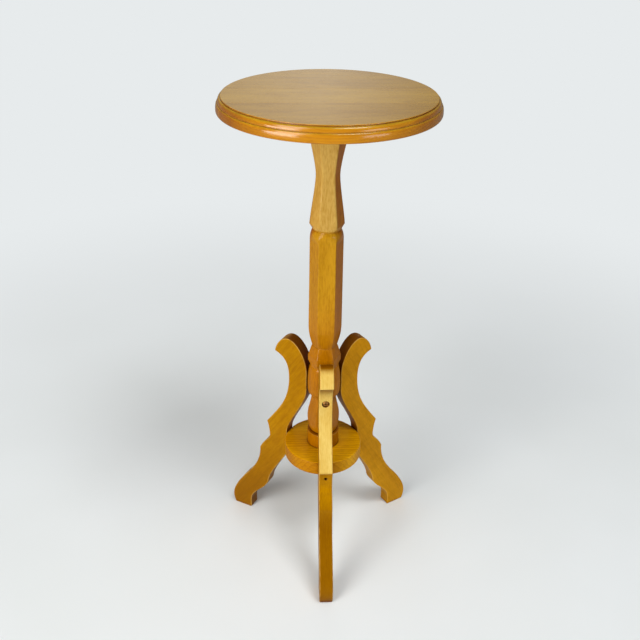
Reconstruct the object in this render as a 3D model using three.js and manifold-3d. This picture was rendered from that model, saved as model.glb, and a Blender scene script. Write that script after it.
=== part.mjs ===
// A small round-topped pedestal stand in varnished wood, in millimetres, +Z up.
//
// A glued-up round top with a moulded rim sits on a six-sided turned column. Three legs sawn from
// board stand round the foot of the column. Each leg is held by two wood screws: one runs into the
// column, the other into the edge of a round disc that ties the legs together.
// Nothing on the stand moves.
//
// Run by any program that imports it with the npm packages three and manifold-3d installed.

import * as THREE from 'three';
import { mergeVertices } from 'three/addons/utils/BufferGeometryUtils.js';
import Module from 'manifold-3d';

// ---- Driving dimensions -------------------------------------------------------------------------

const STAND_HEIGHT = 765; // floor to top face
const TOP_RADIUS = 152.5; // a 12 inch round
const TOP_THICKNESS = 22;
const FRONT_SEAM_Y = -46; // glue line between the front and middle boards, from the column's axis
const BACK_SEAM_Y = 28; // glue line between the middle and back boards

const COLUMN_CORNER_RADIUS = 26; // axis to a corner of the six-sided column at its widest
const TENON_RADIUS = 12.7; // the round pegs at both ends of the column
const TENON_LENGTH = 12;

const DISC_RADIUS = 62.5;
const DISC_THICKNESS = 24;
const DISC_TOP = 194; // height of the disc's upper face, which carries the column

const CLEAT_RADIUS = 50; // round block under the top that takes the column's upper peg
const CLEAT_THICKNESS = 18;

const LEG_THICKNESS = 21;
const LEG_HEIGHT = 375;
const LEG_EASING = 1.5; // rounding of the legs' long edges

const GAP = 0.3; // clearance between a piece and the piece it is fitted to
const GLUE_LINE = 0.3;

const LEG_SCREW = { headRadius: 4.8, headHeight: 3, shankRadius: 2.1, length: 43, boreRadius: 6 };
const TRIM_SCREW = { headRadius: 2.5, headHeight: 2, shankRadius: 1.7, length: 45, boreRadius: 2.9 };
const CLEAT_SCREW = { headRadius: 4.2, headHeight: 3, shankRadius: 2.1, length: 26, boreRadius: 5 };
const COLUMN_SCREW = { headRadius: 4.5, headHeight: 3, shankRadius: 2.3, length: 40, boreRadius: 10 };

const LEG_SCREW_SEAT = { radius: 55.2, height: 304.5, tilt: 0 };
const TRIM_SCREW_SEAT = { radius: 84, height: 188.6, tilt: THREE.MathUtils.degToRad(8) };
const CLEAT_SCREW_CIRCLE = 38;
const CLEAT_SCREW_DEPTH = 5; // depth of the counterbores in the cleat
const COLUMN_SCREW_DEPTH = 5;
const WASHER_THICKNESS = 1.5;
const WASHER_RADIUS = 9;

// Fineness of the round and curved shapes.
const CURVE_STEPS = 6;
const EDGE_STEPS = 2;
const TOP_SIDES = 64;
const DISC_SIDES = 48;
const PEG_SIDES = 16;
const SCREW_SIDES = 12;
const COLUMN_SIDES = 6;

const TOP_UNDERSIDE = STAND_HEIGHT - TOP_THICKNESS;
const CLEAT_UNDERSIDE = TOP_UNDERSIDE - CLEAT_THICKNESS;
const DISC_UNDERSIDE = DISC_TOP - DISC_THICKNESS;
const QUARTER_TURN = Math.PI / 2;

// Directions of the legs round the column, as turns about +Z from +X. The front leg points to -Y.
const LEG_DIRECTIONS = {
  front: -QUARTER_TURN,
  right: -QUARTER_TURN + (2 * Math.PI) / 3,
  left: -QUARTER_TURN - (2 * Math.PI) / 3,
};

// ---- Materials ----------------------------------------------------------------------------------

function wood(color, roughness = 0.35) {
  return new THREE.MeshStandardMaterial({ color, roughness, metalness: 0 });
}

function metal(color, roughness = 0.4) {
  return new THREE.MeshStandardMaterial({ color, roughness, metalness: 1 });
}

const TOP_COLOR = '#b98650';
const COLUMN_COLOR = '#b97f2c';
const LEG_COLOR = '#c58a35';
const CLEAT_COLOR = '#b08547';
const BRONZED_STEEL = '#8a6a3c';
const ZINCED_STEEL = '#9a9c9e';

// ---- Solids and booleans ------------------------------------------------------------------------

const wasm = await Module();
wasm.setup();

/** Welds a closed geometry's shared vertices and returns it as a manifold solid. */
function solidFrom(geometry) {
  const bare = geometry.clone();
  bare.deleteAttribute('normal');
  bare.deleteAttribute('uv');
  const welded = mergeVertices(bare, 1e-4);
  const triangles = [];
  const index = welded.index.array;
  for (let i = 0; i < index.length; i += 3) {
    const [a, b, c] = index.slice(i, i + 3);
    if (a !== b && b !== c && c !== a) triangles.push(a, b, c);
  }
  const mesh = new wasm.Mesh({
    numProp: 3,
    vertProperties: new Float32Array(welded.attributes.position.array),
    triVerts: new Uint32Array(triangles),
  });
  return new wasm.Manifold(mesh);
}

/** Turns a manifold solid back into a geometry. */
function geometryFrom(solid) {
  const { vertProperties, triVerts } = solid.getMesh();
  const geometry = new THREE.BufferGeometry();
  geometry.setAttribute('position', new THREE.BufferAttribute(vertProperties, 3));
  geometry.setIndex(new THREE.BufferAttribute(triVerts, 1));
  geometry.computeVertexNormals();
  return geometry;
}

function piece(name, solid, material) {
  const mesh = new THREE.Mesh(geometryFrom(solid), material);
  mesh.name = name;
  return mesh;
}

// ---- Basic shapes -------------------------------------------------------------------------------

/** Spins an outline of (radius, height) about +Z. One corner of the result points to -Y. */
function turned(outline, sides, steps = CURVE_STEPS) {
  const geometry = new THREE.LatheGeometry(outline.getPoints(steps), sides);
  return geometry.rotateX(QUARTER_TURN);
}

/** A cylinder on +Z between two heights. */
function peg(radius, low, high, sides = PEG_SIDES) {
  const outline = new THREE.Path();
  outline.moveTo(0, low);
  outline.lineTo(radius, low);
  outline.lineTo(radius, high);
  outline.lineTo(0, high);
  return turned(outline, sides);
}

/** A disc on +Z with rounded edges. */
function roundedDisc(radius, low, high, edge) {
  const outline = new THREE.Path();
  outline.moveTo(0, low);
  outline.lineTo(radius - edge, low);
  outline.quadraticCurveTo(radius, low, radius, low + edge);
  outline.lineTo(radius, high - edge);
  outline.quadraticCurveTo(radius, high, radius - edge, high);
  outline.lineTo(0, high);
  return turned(outline, DISC_SIDES, EDGE_STEPS);
}

// ---- Screws -------------------------------------------------------------------------------------

/** A wood screw on the Z axis: its head's underside just above z = 0, its tip pointing to -Z. */
function screwGeometry({ headRadius, headHeight, shankRadius, length }) {
  const taper = 3 * shankRadius;
  const outline = new THREE.Path();
  outline.moveTo(0, -length);
  outline.lineTo(shankRadius, taper - length);
  outline.lineTo(shankRadius, GAP);
  outline.lineTo(headRadius, GAP);
  outline.quadraticCurveTo(headRadius, headHeight, 0, headHeight);
  return turned(outline, SCREW_SIDES, EDGE_STEPS);
}

/** The stepped hole for a screw: a pilot below z = 0 and a wide bore above it, up to mouth. */
function screwHole({ shankRadius, length, boreRadius }, mouth) {
  const pilotRadius = shankRadius + GAP;
  const outline = new THREE.Path();
  outline.moveTo(0, -length - GAP);
  outline.lineTo(pilotRadius, -length - GAP);
  outline.lineTo(pilotRadius, 0);
  outline.lineTo(boreRadius, 0);
  outline.lineTo(boreRadius, mouth);
  outline.lineTo(0, mouth);
  return turned(outline, PEG_SIDES);
}

/** Stands a screw, or its hole, in a leg: X runs out from the column's axis, Z is up. */
function placeInLeg(object, seat) {
  object.position.set(seat.radius, 0, seat.height);
  object.rotation.y = QUARTER_TURN - seat.tilt;
  object.updateMatrix();
  return object;
}

/** The hole for one leg screw, in the leg's own frame. */
function legHole(screw, seat) {
  const mouth = 40;
  const place = placeInLeg(new THREE.Object3D(), seat);
  return screwHole(screw, mouth).applyMatrix4(place.matrix);
}

/** The holes of all three legs for one kind of screw, round the column. */
function holesRoundColumn(screw, seat) {
  return Object.values(LEG_DIRECTIONS).map((turn) => legHole(screw, seat).rotateZ(turn));
}

function cut(solid, holes) {
  return holes.reduce((rest, hole) => rest.subtract(solidFrom(hole)), solid);
}

// ---- The top ------------------------------------------------------------------------------------

/** The moulded rim: a rounded nosing, a quirk, a small ovolo and a fine step up to the face. */
function topGeometry() {
  const low = TOP_UNDERSIDE;
  const outline = new THREE.Path();
  outline.moveTo(0, low);
  outline.lineTo(TOP_RADIUS - 3, low);
  outline.quadraticCurveTo(TOP_RADIUS, low, TOP_RADIUS, low + 3.5);
  outline.bezierCurveTo(TOP_RADIUS, low + 9, TOP_RADIUS - 0.6, low + 12, TOP_RADIUS - 1.9, low + 12.6);
  outline.lineTo(TOP_RADIUS - 2.8, low + 12.8);
  outline.lineTo(TOP_RADIUS - 2.8, low + 13.8);
  outline.quadraticCurveTo(TOP_RADIUS - 3, low + 18.8, TOP_RADIUS - 5.8, low + 19.8);
  outline.lineTo(TOP_RADIUS - 6.8, low + 20);
  outline.lineTo(TOP_RADIUS - 6.8, STAND_HEIGHT - 0.6);
  outline.lineTo(TOP_RADIUS - 7.4, STAND_HEIGHT);
  outline.lineTo(0, STAND_HEIGHT);
  return turned(outline, TOP_SIDES);
}

/** One board of the top: the part of the round between two glue lines. */
function topBoard(round, name, nearY, farY) {
  const slab = new THREE.BoxGeometry(3 * TOP_RADIUS, farY - nearY, 3 * TOP_THICKNESS);
  slab.translate(0, (nearY + farY) / 2, STAND_HEIGHT);
  return piece(name, round.intersect(solidFrom(slab)), wood(TOP_COLOR, 0.25));
}

// The cleat's screws point up into the top, one to each side.
function cleatScrewPlace(object, turn) {
  const seat = CLEAT_UNDERSIDE + CLEAT_SCREW_DEPTH;
  const x = CLEAT_SCREW_CIRCLE * Math.cos(turn);
  const y = CLEAT_SCREW_CIRCLE * Math.sin(turn);
  object.position.set(x, y, seat);
  object.rotation.x = Math.PI;
  object.updateMatrix();
  return object;
}

const CLEAT_SCREW_TURNS = {
  right: 0,
  back: QUARTER_TURN,
  left: 2 * QUARTER_TURN,
  front: 3 * QUARTER_TURN,
};

function cleatHoles() {
  return Object.values(CLEAT_SCREW_TURNS).map((turn) => {
    const place = cleatScrewPlace(new THREE.Object3D(), turn);
    return screwHole(CLEAT_SCREW, 2 * CLEAT_SCREW_DEPTH).applyMatrix4(place.matrix);
  });
}

function buildTop() {
  const top = new THREE.Group();
  const round = cut(solidFrom(topGeometry()), cleatHoles());
  const beyond = 2 * TOP_RADIUS;
  const half = GLUE_LINE / 2;
  top.add(topBoard(round, 'top_board_front', -beyond, FRONT_SEAM_Y - half));
  top.add(topBoard(round, 'top_board_middle', FRONT_SEAM_Y + half, BACK_SEAM_Y - half));
  top.add(topBoard(round, 'top_board_back', BACK_SEAM_Y + half, beyond));

  const mortise = peg(TENON_RADIUS + GAP, CLEAT_UNDERSIDE - 1, TOP_UNDERSIDE + 1);
  const block = roundedDisc(CLEAT_RADIUS, CLEAT_UNDERSIDE, TOP_UNDERSIDE, 2);
  const cleat = cut(solidFrom(block), [mortise, ...cleatHoles()]);
  top.add(piece('top_cleat', cleat, wood(CLEAT_COLOR, 0.5)));

  for (const [side, turn] of Object.entries(CLEAT_SCREW_TURNS)) {
    const screw = piece(`cleat_screw_${side}`, solidFrom(screwGeometry(CLEAT_SCREW)), metal(ZINCED_STEEL));
    top.add(cleatScrewPlace(screw, turn));
  }
  return top;
}

// ---- The column ---------------------------------------------------------------------------------

// Heights of the column's features, from the floor.
const RING_TOP = 218.5;
const BULB_FOOT = 220.5;
const BULB_WIDEST = 244;
const BULB_NECK = 285;
const BLOCK_MIDDLE = 309;
const BLOCK_TOP = 342;
const COLLAR_LOW = 350.5;
const COLLAR_HIGH = 359.5;
const BELLY_NECK = 377;
const BELLY_LOW = 415;
const BELLY_HIGH = 557;
const BELLY_GROOVE = 571;
const HOURGLASS_LOW = 583.5;
const HOURGLASS_WAIST = 653;
const HOURGLASS_HIGH = 702;
const HEAD_GROOVE = 711;
const HEAD_LOW = 716;

// Corner radii where the column isn't at its full width.
const BULB_FOOT_RADIUS = 21;
const NECK_RADIUS = 19.5;
const PINCH_RADIUS = 22;
const BELLY_RADIUS = 25.6;
const GROOVE_RADIUS = 20.9;
const WAIST_RADIUS = 17.8;

/** The six-sided stretch of the column, as the path of one of its corners. */
function columnCornerPath() {
  const wide = COLUMN_CORNER_RADIUS;
  const path = new THREE.Path();
  path.moveTo(0, BULB_FOOT);
  path.lineTo(BULB_FOOT_RADIUS, BULB_FOOT);
  path.quadraticCurveTo(wide, BULB_FOOT + 9, wide, BULB_WIDEST);
  path.bezierCurveTo(wide, BULB_WIDEST + 18, NECK_RADIUS + 1, BULB_NECK - 16, NECK_RADIUS, BULB_NECK);
  path.lineTo(wide - 1.4, BULB_NECK + 7);
  path.quadraticCurveTo(wide, BULB_NECK + 11, wide, BLOCK_MIDDLE);
  path.quadraticCurveTo(wide, BLOCK_TOP - 12, PINCH_RADIUS, BLOCK_TOP);
  path.lineTo(wide, COLLAR_LOW);
  path.lineTo(wide, COLLAR_HIGH);
  path.quadraticCurveTo(wide - 2.5, COLLAR_HIGH + 7, NECK_RADIUS, BELLY_NECK);
  path.bezierCurveTo(
    NECK_RADIUS + 3, BELLY_NECK + 11, BELLY_RADIUS, BELLY_LOW - 19, BELLY_RADIUS, BELLY_LOW,
  );
  path.lineTo(BELLY_RADIUS - 0.6, BELLY_HIGH);
  path.quadraticCurveTo(BELLY_RADIUS - 0.8, BELLY_HIGH + 8, GROOVE_RADIUS, BELLY_GROOVE);
  path.quadraticCurveTo(wide, BELLY_GROOVE + 4, wide, HOURGLASS_LOW);
  path.bezierCurveTo(
    wide - 1.5, HOURGLASS_LOW + 14, WAIST_RADIUS, HOURGLASS_WAIST - 17, WAIST_RADIUS, HOURGLASS_WAIST,
  );
  path.bezierCurveTo(
    WAIST_RADIUS, HOURGLASS_WAIST + 12, wide - 2.5, HOURGLASS_HIGH - 12, wide, HOURGLASS_HIGH,
  );
  path.quadraticCurveTo(wide, HEAD_GROOVE - 2, GROOVE_RADIUS, HEAD_GROOVE);
  path.lineTo(wide, HEAD_LOW);
  path.lineTo(wide, CLEAT_UNDERSIDE);
  path.lineTo(0, CLEAT_UNDERSIDE);
  return path;
}

/** The round foot ring, its lower peg, and a core that runs up into the six-sided stretch. */
function columnFootPath() {
  const edge = 1;
  const core = 17.5;
  const path = new THREE.Path();
  path.moveTo(0, DISC_TOP - TENON_LENGTH);
  path.lineTo(TENON_RADIUS, DISC_TOP - TENON_LENGTH);
  path.lineTo(TENON_RADIUS, DISC_TOP);
  path.lineTo(COLUMN_CORNER_RADIUS - 0.5 - edge, DISC_TOP);
  path.lineTo(COLUMN_CORNER_RADIUS - 0.5, DISC_TOP + edge);
  path.lineTo(COLUMN_CORNER_RADIUS - 0.5, RING_TOP - edge);
  path.lineTo(COLUMN_CORNER_RADIUS - 0.5 - edge, RING_TOP);
  path.lineTo(core, RING_TOP + 1);
  path.lineTo(core, BULB_FOOT + 4);
  path.lineTo(0, BULB_FOOT + 4);
  return path;
}

function columnScrewSeat() {
  return DISC_UNDERSIDE + COLUMN_SCREW_DEPTH;
}

/** The hole for the screw that comes up through the lower disc into the column's foot. */
function columnScrewHole() {
  const hole = screwHole(COLUMN_SCREW, 2 * COLUMN_SCREW_DEPTH);
  return hole.rotateX(Math.PI).translate(0, 0, columnScrewSeat());
}

function buildColumn() {
  // Turned half a facet round, so that a flat faces each leg.
  const facets = turned(columnCornerPath(), COLUMN_SIDES).rotateZ(Math.PI / COLUMN_SIDES);
  const foot = turned(columnFootPath(), DISC_SIDES);
  const tenon = peg(TENON_RADIUS, CLEAT_UNDERSIDE - 5, CLEAT_UNDERSIDE + TENON_LENGTH);
  const body = solidFrom(facets).add(solidFrom(foot)).add(solidFrom(tenon));
  const holes = [...holesRoundColumn(LEG_SCREW, LEG_SCREW_SEAT), columnScrewHole()];
  return piece('column', cut(body, holes), wood(COLUMN_COLOR, 0.3));
}

// ---- The lower disc -----------------------------------------------------------------------------

function buildLowerDisc() {
  const group = new THREE.Group();
  const slab = roundedDisc(DISC_RADIUS, DISC_UNDERSIDE, DISC_TOP, 2.5);
  const mortise = peg(TENON_RADIUS + GAP, DISC_TOP - TENON_LENGTH - GAP, DISC_TOP + 1);
  const holes = [mortise, columnScrewHole(), ...holesRoundColumn(TRIM_SCREW, TRIM_SCREW_SEAT)];
  group.add(piece('lower_disc', cut(solidFrom(slab), holes), wood(COLUMN_COLOR, 0.3)));

  const seat = columnScrewSeat();
  const washerLow = seat - WASHER_THICKNESS;
  const washerBlank = solidFrom(peg(WASHER_RADIUS, washerLow, seat));
  const washerHole = peg(COLUMN_SCREW.shankRadius + GAP, washerLow - 1, seat + 1);
  group.add(piece('column_washer', cut(washerBlank, [washerHole]), metal(ZINCED_STEEL)));

  const screw = piece('column_screw', solidFrom(screwGeometry(COLUMN_SCREW)), metal(ZINCED_STEEL));
  screw.rotation.x = Math.PI;
  screw.position.z = washerLow;
  group.add(screw);
  return group;
}

// ---- The legs -----------------------------------------------------------------------------------

/** A leg's outline: x is the distance from the column's axis, y the height above the floor. */
function legOutline() {
  const columnFace = COLUMN_CORNER_RADIUS * Math.cos(Math.PI / COLUMN_SIDES) + GAP;
  const discFace = DISC_RADIUS + GAP;
  const shape = new THREE.Shape();
  shape.moveTo(137, 0);
  shape.lineTo(170, 0);
  // Round toe, then a hollow up the ankle to the lower cusp.
  shape.bezierCurveTo(179, 19, 175, 33.4, 151, 67);
  shape.bezierCurveTo(143, 78.2, 115, 106, 116, 143.5);
  // Notch between the two cusps.
  shape.quadraticCurveTo(110, 157, 100, 166);
  shape.quadraticCurveTo(95.6, 171, 96, 178);
  shape.quadraticCurveTo(97, 194, 101, 204);
  // Long hollow up to the waist and out to the tip of the scroll.
  shape.bezierCurveTo(79, 236, 58.5, 259, 58.5, 303);
  shape.bezierCurveTo(58.5, 327, 65, 341, 84, 347.4);
  // Over the scroll and down to the column.
  shape.bezierCurveTo(82, 361, 72, LEG_HEIGHT, 60, LEG_HEIGHT);
  shape.bezierCurveTo(44.5, LEG_HEIGHT, columnFace, 346, columnFace, 320);
  shape.lineTo(columnFace, 300);
  // Out to the disc, which the leg meets along a flat.
  shape.bezierCurveTo(columnFace, 266, discFace, 214, discFace, DISC_TOP);
  shape.lineTo(discFace, 150);
  // Under the disc and down to the heel.
  shape.bezierCurveTo(77, 123, 98, 96, 101, 73);
  shape.bezierCurveTo(109, 49, 136, 41, 137, 17);
  shape.lineTo(137, 0);
  return shape;
}

/** A leg's board, with its thickness along Y, cut for its two screws. */
function legSolid() {
  const geometry = new THREE.ExtrudeGeometry(legOutline(), {
    depth: LEG_THICKNESS - 2 * LEG_EASING,
    curveSegments: CURVE_STEPS,
    bevelThickness: LEG_EASING,
    bevelSize: LEG_EASING,
    bevelOffset: -LEG_EASING,
    bevelSegments: 1,
  });
  geometry.translate(0, 0, LEG_EASING - LEG_THICKNESS / 2);
  geometry.rotateX(QUARTER_TURN);
  const holes = [legHole(LEG_SCREW, LEG_SCREW_SEAT), legHole(TRIM_SCREW, TRIM_SCREW_SEAT)];
  return cut(solidFrom(geometry), holes);
}

function buildLeg(side, turn) {
  const leg = new THREE.Group();
  leg.add(piece(`leg_${side}`, legSolid(), wood(LEG_COLOR)));
  const upper = piece(`upper_screw_${side}`, solidFrom(screwGeometry(LEG_SCREW)), metal(BRONZED_STEEL));
  leg.add(placeInLeg(upper, LEG_SCREW_SEAT));
  const lower = piece(`lower_screw_${side}`, solidFrom(screwGeometry(TRIM_SCREW)), metal(BRONZED_STEEL));
  leg.add(placeInLeg(lower, TRIM_SCREW_SEAT));
  leg.rotation.z = turn;
  return leg;
}

// ---- The stand ----------------------------------------------------------------------------------

function buildStand() {
  const stand = new THREE.Group();
  stand.add(buildTop(), buildColumn(), buildLowerDisc());
  for (const [side, turn] of Object.entries(LEG_DIRECTIONS)) {
    stand.add(buildLeg(side, turn));
  }
  // The origin is on the floor, under the middle of the stand's bounding box.
  const middle = new THREE.Box3().setFromObject(stand, true).getCenter(new THREE.Vector3());
  stand.position.set(-middle.x, -middle.y, 0);
  return stand;
}

export default buildStand();
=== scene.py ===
# A small round-topped pedestal stand in varnished wood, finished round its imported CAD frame.
#
# Every piece of the CAD model is rebuilt with fine geometry in the same place and size: boards with a
# moulded rim, a six-sided turned column, a lower disc, sawn scroll legs and threaded screws.
# Outlines are in millimetres. Blender's objects are in metres, +Z up, with the front leg towards -Y.

import math

import bmesh
import bpy
from mathutils import Matrix, Vector


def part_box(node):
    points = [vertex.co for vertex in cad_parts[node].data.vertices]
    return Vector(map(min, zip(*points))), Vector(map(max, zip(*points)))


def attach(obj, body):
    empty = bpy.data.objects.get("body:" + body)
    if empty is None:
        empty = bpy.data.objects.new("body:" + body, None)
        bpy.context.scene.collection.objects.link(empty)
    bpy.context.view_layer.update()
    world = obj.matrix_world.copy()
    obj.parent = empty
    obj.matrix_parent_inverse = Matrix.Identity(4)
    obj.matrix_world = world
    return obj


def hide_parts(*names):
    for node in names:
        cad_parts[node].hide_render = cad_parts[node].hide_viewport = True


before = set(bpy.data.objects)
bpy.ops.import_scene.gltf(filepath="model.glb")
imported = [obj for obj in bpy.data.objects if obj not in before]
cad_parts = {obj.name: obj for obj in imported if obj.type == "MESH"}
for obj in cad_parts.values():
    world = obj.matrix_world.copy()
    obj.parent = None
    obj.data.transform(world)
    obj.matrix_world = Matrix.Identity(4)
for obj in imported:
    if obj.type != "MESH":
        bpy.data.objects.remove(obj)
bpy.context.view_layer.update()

MM = 0.001


# ---- Sizes and places, from the frame -------------------------------------------------------------

def box_mm(node):
    """A node's lowest and highest corner, in millimetres."""
    low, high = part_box(node)
    return low / MM, high / MM


COLUMN_LOW, COLUMN_HIGH = box_mm("column")
TOP_LOW, TOP_HIGH = box_mm("top_board_middle")
DISC_LOW, DISC_HIGH = box_mm("lower_disc")
CLEAT_LOW, CLEAT_HIGH = box_mm("top_cleat")
LEG_LOW, LEG_HIGH = box_mm("leg_front")
WASHER_LOW, WASHER_HIGH = box_mm("column_washer")

# The foot of the column's upright axis, on the floor.
AXIS = (DISC_LOW + DISC_HIGH) / 2
AXIS.z = 0.0

STAND_HEIGHT = TOP_HIGH.z
TOP_UNDERSIDE = TOP_LOW.z
TOP_RADIUS = (TOP_HIGH.x - TOP_LOW.x) / 2
DISC_TOP = DISC_HIGH.z
DISC_UNDERSIDE = DISC_LOW.z
DISC_RADIUS = (DISC_HIGH.x - DISC_LOW.x) / 2
CLEAT_UNDERSIDE = CLEAT_LOW.z
CLEAT_RADIUS = (CLEAT_HIGH.x - CLEAT_LOW.x) / 2
CORNER_RADIUS = (COLUMN_HIGH.x - COLUMN_LOW.x) / 2
COLUMN_FOOT = COLUMN_LOW.z
COLUMN_HEAD = COLUMN_HIGH.z
LEG_HEIGHT = LEG_HIGH.z
LEG_THICKNESS = LEG_HIGH.x - LEG_LOW.x

GAP = 0.3  # between pieces that meet, and under a screw's head
PILOT_GAP = 0.3  # round a screw's threads
TENON_RADIUS = 12.7  # of the pegs at the column's ends

# Directions of the legs round the column, in degrees about +Z from +X.
LEG_TURNS = {"front": -90.0, "right": 30.0, "left": 150.0}

# Screws: sizes of the screw and of the counterbore it sits in.
LEG_SCREW = {"head": 4.8, "height": 3.0, "shank": 2.1, "length": 43.0, "bore": 6.0}
TRIM_SCREW = {"head": 2.5, "height": 2.0, "shank": 1.7, "length": 45.0, "bore": 2.9}
CLEAT_SCREW = {"head": 4.2, "height": 3.0, "shank": 2.1, "length": 26.0, "bore": 5.0}
COLUMN_SCREW = {"head": 4.5, "height": 3.0, "shank": 2.3, "length": 40.0, "bore": 10.0}

# Seats of the screws' heads: distance from the column's axis, height, and tilt below level.
UPPER_SCREW_LOW, UPPER_SCREW_HIGH = box_mm("upper_screw_front")
UPPER_SCREW_HEIGHT = (UPPER_SCREW_LOW.z + UPPER_SCREW_HIGH.z) / 2
LEG_SEAT = (AXIS.y - UPPER_SCREW_LOW.y - LEG_SCREW["height"], UPPER_SCREW_HEIGHT, 0.0)
TRIM_SEAT = (84.0, 188.6, 8.0)
CLEAT_SCREW_CIRCLE = 38.0
CLEAT_SCREW_DEPTH = 5.0

# How far past a screw's seat its bore's cutter reaches, to come out clear of the wood.
LEG_BORE_REACH = 40.0
COLUMN_BORE_REACH = 10.0


# ---- Paths ----------------------------------------------------------------------------------------

def bezier_point(anchors, t):
    """The point at t on the curve with these anchors, by blending neighbours until one is left."""
    while len(anchors) > 1:
        anchors = [a.lerp(b, t) for a, b in zip(anchors, anchors[1:])]
    return anchors[0]


class Path:
    """A path of (across, up) points in millimetres, with straight and curved stretches."""

    def __init__(self, x, y, step=1.2):
        self.points = [Vector((x, y))]
        self.step = step

    def line(self, x, y):
        self.points.append(Vector((x, y)))
        return self

    def curve(self, *controls):
        """A curve to the last control point, shaped by the ones before it."""
        anchors = [self.points[-1], *map(Vector, controls)]
        reach = sum((b - a).length for a, b in zip(anchors, anchors[1:]))
        steps = max(4, math.ceil(reach / self.step))
        self.points += [bezier_point(anchors, i / steps) for i in range(1, steps + 1)]
        return self

    def turn_at(self, i):
        """How sharply the path turns at a point, in radians."""
        here = self.points[i]
        onward = self.points[(i + 1) % len(self.points)] - here
        return onward.angle(here - self.points[i - 1])

    def walk(self, i, way, reach):
        """The point at this distance along the path from a corner, and the indices passed on the way."""
        passed = []
        here = self.points[i]
        while True:
            i = (i + way) % len(self.points)
            step = self.points[i] - here
            if step.length > reach:
                return here + step.normalized() * reach, passed
            reach -= step.length
            here = self.points[i]
            passed.append(i)

    def eased(self, radius, closed=False):
        """The points, with each hard corner replaced by a round of this radius."""
        count = len(self.points)
        hard = math.radians(20)
        round_steps = 6
        ends = () if closed else (0, count - 1)
        corners = [i for i in range(count) if i not in ends and self.turn_at(i) > hard]
        rounds = {}
        dropped = set()
        for i in corners:
            reach = radius * math.tan(self.turn_at(i) / 2)
            neighbours = [corners[corners.index(i) - 1], corners[(corners.index(i) + 1) % len(corners)]]
            free = min((self.points[k] - self.points[i]).length for k in (*neighbours, *ends) if k != i)
            reach = min(reach, 0.45 * free)  # leaves a neighbouring corner its own share
            start, passed_back = self.walk(i, -1, reach)
            end, passed_on = self.walk(i, 1, reach)
            dropped.update(passed_back, passed_on)
            hull = [start, self.points[i], end]
            rounds[i] = [bezier_point(hull, k / round_steps) for k in range(round_steps + 1)]
        result = []
        for i, point in enumerate(self.points):
            if i in rounds:
                result += rounds[i]
            elif i not in dropped:
                result.append(point)
        return result


# ---- Meshes ---------------------------------------------------------------------------------------

def ring_solid(name, rings, looped=False):
    """A closed mesh from a stack of rings with equal point counts.

    Its two ends are capped, or joined to each other if it is looped.
    """
    count = len(rings[0])
    points = [point * MM for ring in rings for point in ring]
    faces = []
    for layer in range(len(rings) if looped else len(rings) - 1):
        low = layer * count
        high = (layer + 1) % len(rings) * count
        for i in range(count):
            j = (i + 1) % count
            faces.append((low + i, low + j, high + j, high + i))
    if not looped:
        faces.append(tuple(reversed(range(count))))
        faces.append(tuple(range(len(points) - count, len(points))))
    mesh = bpy.data.meshes.new(name)
    mesh.from_pydata(points, [], faces)
    tidy_mesh(mesh)
    return mesh


def tidy_mesh(mesh):
    """Welds a mesh, turns its faces outward and shades it smooth between its hard edges."""
    hard = math.radians(32)
    work = bmesh.new()
    work.from_mesh(mesh)
    bmesh.ops.remove_doubles(work, verts=work.verts, dist=2e-6)
    bmesh.ops.recalc_face_normals(work, faces=work.faces)
    for face in work.faces:
        face.smooth = True
    for edge in work.edges:
        edge.smooth = len(edge.link_faces) == 2 and edge.calc_face_angle(0.0) < hard
    work.to_mesh(mesh)
    work.free()


def circle(radius, height, sides):
    """The points of a level circle round the Z axis."""
    turns = [2 * math.pi * i / sides for i in range(sides)]
    return [Vector((radius * math.cos(t), radius * math.sin(t), height)) for t in turns]


def turned(name, profile, sides):
    """A solid of revolution about +Z from (radius, height) points, all off the axis."""
    return ring_solid(name, [circle(p.x, p.y, sides) for p in profile])


def plate(name, outline, thickness, easing, steps=4):
    """A flat board from an (x, z) outline, its thickness along Y and its long edges rounded."""
    count = len(outline)
    inward = []  # how each point moves when the outline shrinks by 1, further at a sharp corner
    for i, here in enumerate(outline):
        before = (here - outline[i - 1]).normalized()
        after = (outline[(i + 1) % count] - here).normalized()
        normal = Vector((-before.y - after.y, before.x + after.x)).normalized()
        reach = 1 / max(0.5, normal.dot(Vector((-after.y, after.x))))
        inward.append(normal * reach)

    def ring(inset, depth):
        moved = [p + n * inset for p, n in zip(outline, inward)]
        return [Vector((p.x, depth, p.y)) for p in moved]

    rings = []
    turns = [math.pi / 2 * i / steps for i in range(steps + 1)]
    half = thickness / 2
    for turn in turns:
        rings.append(ring(easing * (1 - math.sin(turn)), easing * (1 - math.cos(turn)) - half))
    for turn in reversed(turns):
        rings.append(ring(easing * (1 - math.sin(turn)), half - easing * (1 - math.cos(turn))))
    return ring_solid(name, rings)


def carve(mesh, cutters):
    """The mesh with the cutters taken out of it."""
    body = bpy.data.objects.new("carve_body", mesh)
    bpy.context.scene.collection.objects.link(body)
    helpers = []
    for cutter, place in cutters:
        helper = bpy.data.objects.new("carve_cutter", cutter)
        helper.matrix_world = place
        bpy.context.scene.collection.objects.link(helper)
        helpers.append(helper)
        cut = body.modifiers.new("cut", "BOOLEAN")
        cut.operation = "DIFFERENCE"
        cut.solver = "EXACT"
        cut.object = helper
    bpy.context.view_layer.update()
    carved = bpy.data.meshes.new_from_object(body.evaluated_get(bpy.context.evaluated_depsgraph_get()))
    for helper in [body, *helpers]:
        bpy.data.objects.remove(helper)
    tidy_mesh(carved)
    carved.name = mesh.name
    return carved


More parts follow.
